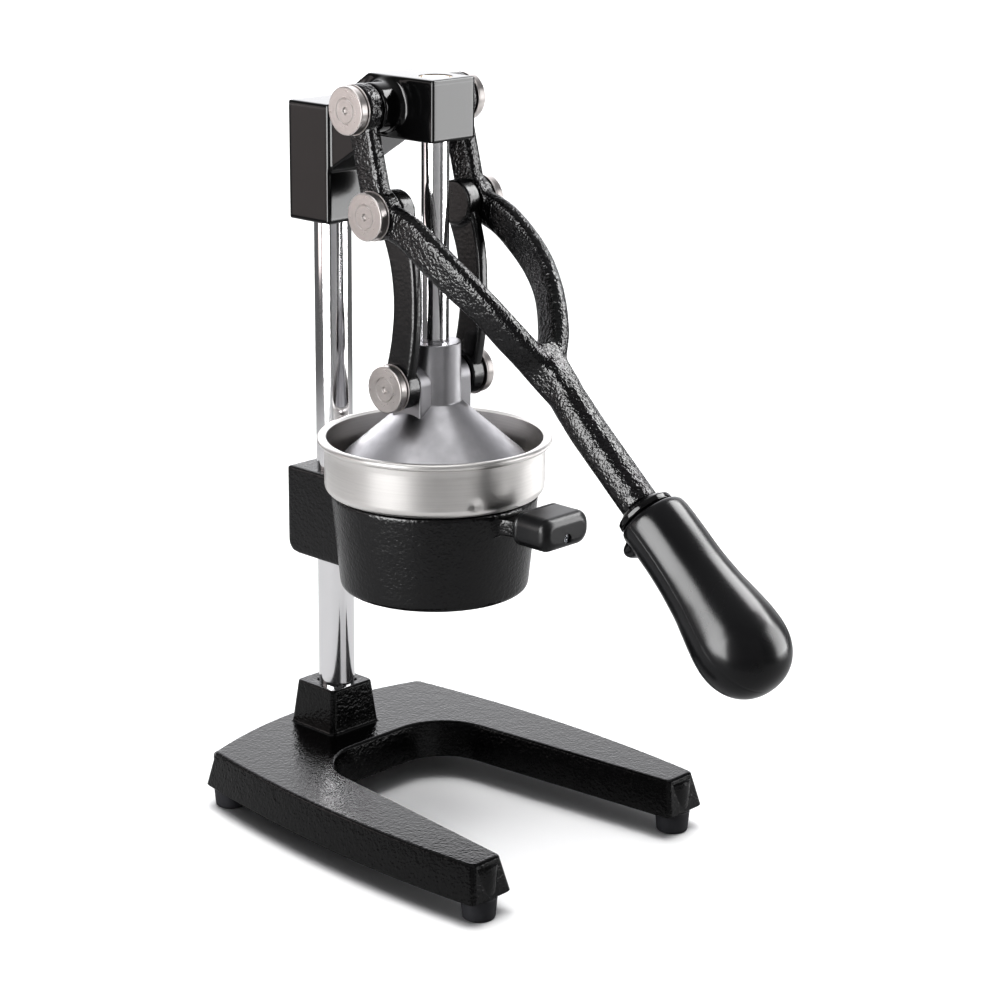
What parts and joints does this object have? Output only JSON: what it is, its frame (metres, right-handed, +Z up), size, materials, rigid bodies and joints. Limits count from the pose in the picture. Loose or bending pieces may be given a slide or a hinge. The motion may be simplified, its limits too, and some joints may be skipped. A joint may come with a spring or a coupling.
{
  "type": "manual citrus press juicer",
  "caption": "Lever-operated countertop citrus press with a cast base, round column, guided pressing cone and lift-out strainer cup over a spouted bowl.",
  "frame": {"origin": "centre of the footprint's bounding box, on the surface the press stands on", "axes": "+Z up; the handle points towards -Y, which is the user's side; +X is to the user's right; the plane X = 0 is the plane of symmetry and holds the column, the guide rod and the handle"},
  "size_m": [0.196, 0.3584, 0.421],
  "materials": {
    "hammered_black": "glossy black hammered powder coat",
    "gloss_black": "smooth gloss black enamel",
    "satin_black": "satin black enamel",
    "rubber": "matt dark grey rubber",
    "zinc": "zinc plated steel",
    "chrome": "polished chrome plate",
    "bronze": "plain machined bronze",
    "turned_steel": "fine turned stainless steel",
    "black_plastic": "glossy black phenolic plastic",
    "grip_plastic": "semi-gloss black plastic",
    "cast_aluminium": "turned and satin cast aluminium",
    "brushed_steel": "brushed stainless steel sheet"
  },
  "bodies": {
    "frame": {"base_casting": "hammered_black", "foot_front_left": "rubber", "foot_front_right": "rubber", "foot_rear_left": "rubber", "foot_rear_right": "rubber", "foot_screw_front_left": "zinc", "foot_screw_front_right": "zinc", "foot_screw_rear_left": "zinc", "foot_screw_rear_right": "zinc", "column": "chrome", "column_washer": "zinc", "column_bolt": "zinc", "head_casting": "gloss_black", "head_set_screw_lower": "zinc", "head_set_screw_upper": "zinc", "rod_bush_lower": "bronze", "rod_bush_upper": "bronze", "head_pivot_shaft": "zinc", "head_pivot_washer_left": "turned_steel", "head_pivot_washer_right": "turned_steel", "head_pivot_disc_left": "turned_steel", "head_pivot_disc_right": "turned_steel", "bowl_casting": "hammered_black", "bowl_set_screw": "zinc", "bowl_grip": "grip_plastic", "bowl_grip_screw": "zinc"},
    "handle": {"handle_yoke": "hammered_black", "handle_stud": "zinc", "handle_ring": "black_plastic", "handle_grip": "black_plastic", "elbow_pin_left": "zinc", "elbow_pin_right": "zinc", "elbow_washer_left": "turned_steel", "elbow_washer_right": "turned_steel", "elbow_disc_left": "turned_steel", "elbow_disc_right": "turned_steel"},
    "ram": {"ram": "cast_aluminium", "guide_rod": "chrome", "ram_screw": "zinc", "ram_pin_left": "zinc", "ram_pin_right": "zinc", "ram_washer_left": "turned_steel", "ram_washer_right": "turned_steel", "ram_disc_left": "turned_steel", "ram_disc_right": "turned_steel"},
    "link_left": {"link_left": "satin_black"},
    "link_right": {"link_right": "satin_black"},
    "strainer": {"strainer_cup": "brushed_steel", "strainer_cone": "brushed_steel"}
  },
  "joints": [
    {"name": "handle_lift", "type": "hinge", "parent": "frame", "child": "handle", "pos_m": [0, 0.08463, 0.4048], "axis": [-1, 0, 0], "range_deg": [0, 100]},
    {"name": "ram_travel", "type": "slide", "parent": "frame", "child": "ram", "axis": [0, 0, 1], "range_m": [0, 0.08365]},
    {"name": "link_left_swing", "type": "hinge", "parent": "ram", "child": "link_left", "pos_m": [0, 0.06633, 0.256], "axis": [1, 0, 0], "range_deg": [0, 22.7]},
    {"name": "link_right_swing", "type": "hinge", "parent": "ram", "child": "link_right", "pos_m": [0, 0.06633, 0.256], "axis": [1, 0, 0], "range_deg": [0, 22.7]},
    {"name": "strainer_turn", "type": "hinge", "parent": "frame", "child": "strainer", "pos_m": [0, 0.06403, 0.186], "axis": [0, 0, 1], "continuous": true}
  ],
  "couplings": [
    {"joint": "ram_travel", "follows": "handle_lift", "m_per_rad": 0.047871},
    {"joint": "link_left_swing", "follows": "handle_lift", "ratio": 0.2264},
    {"joint": "link_right_swing", "follows": "handle_lift", "ratio": 0.2264}
  ]
}
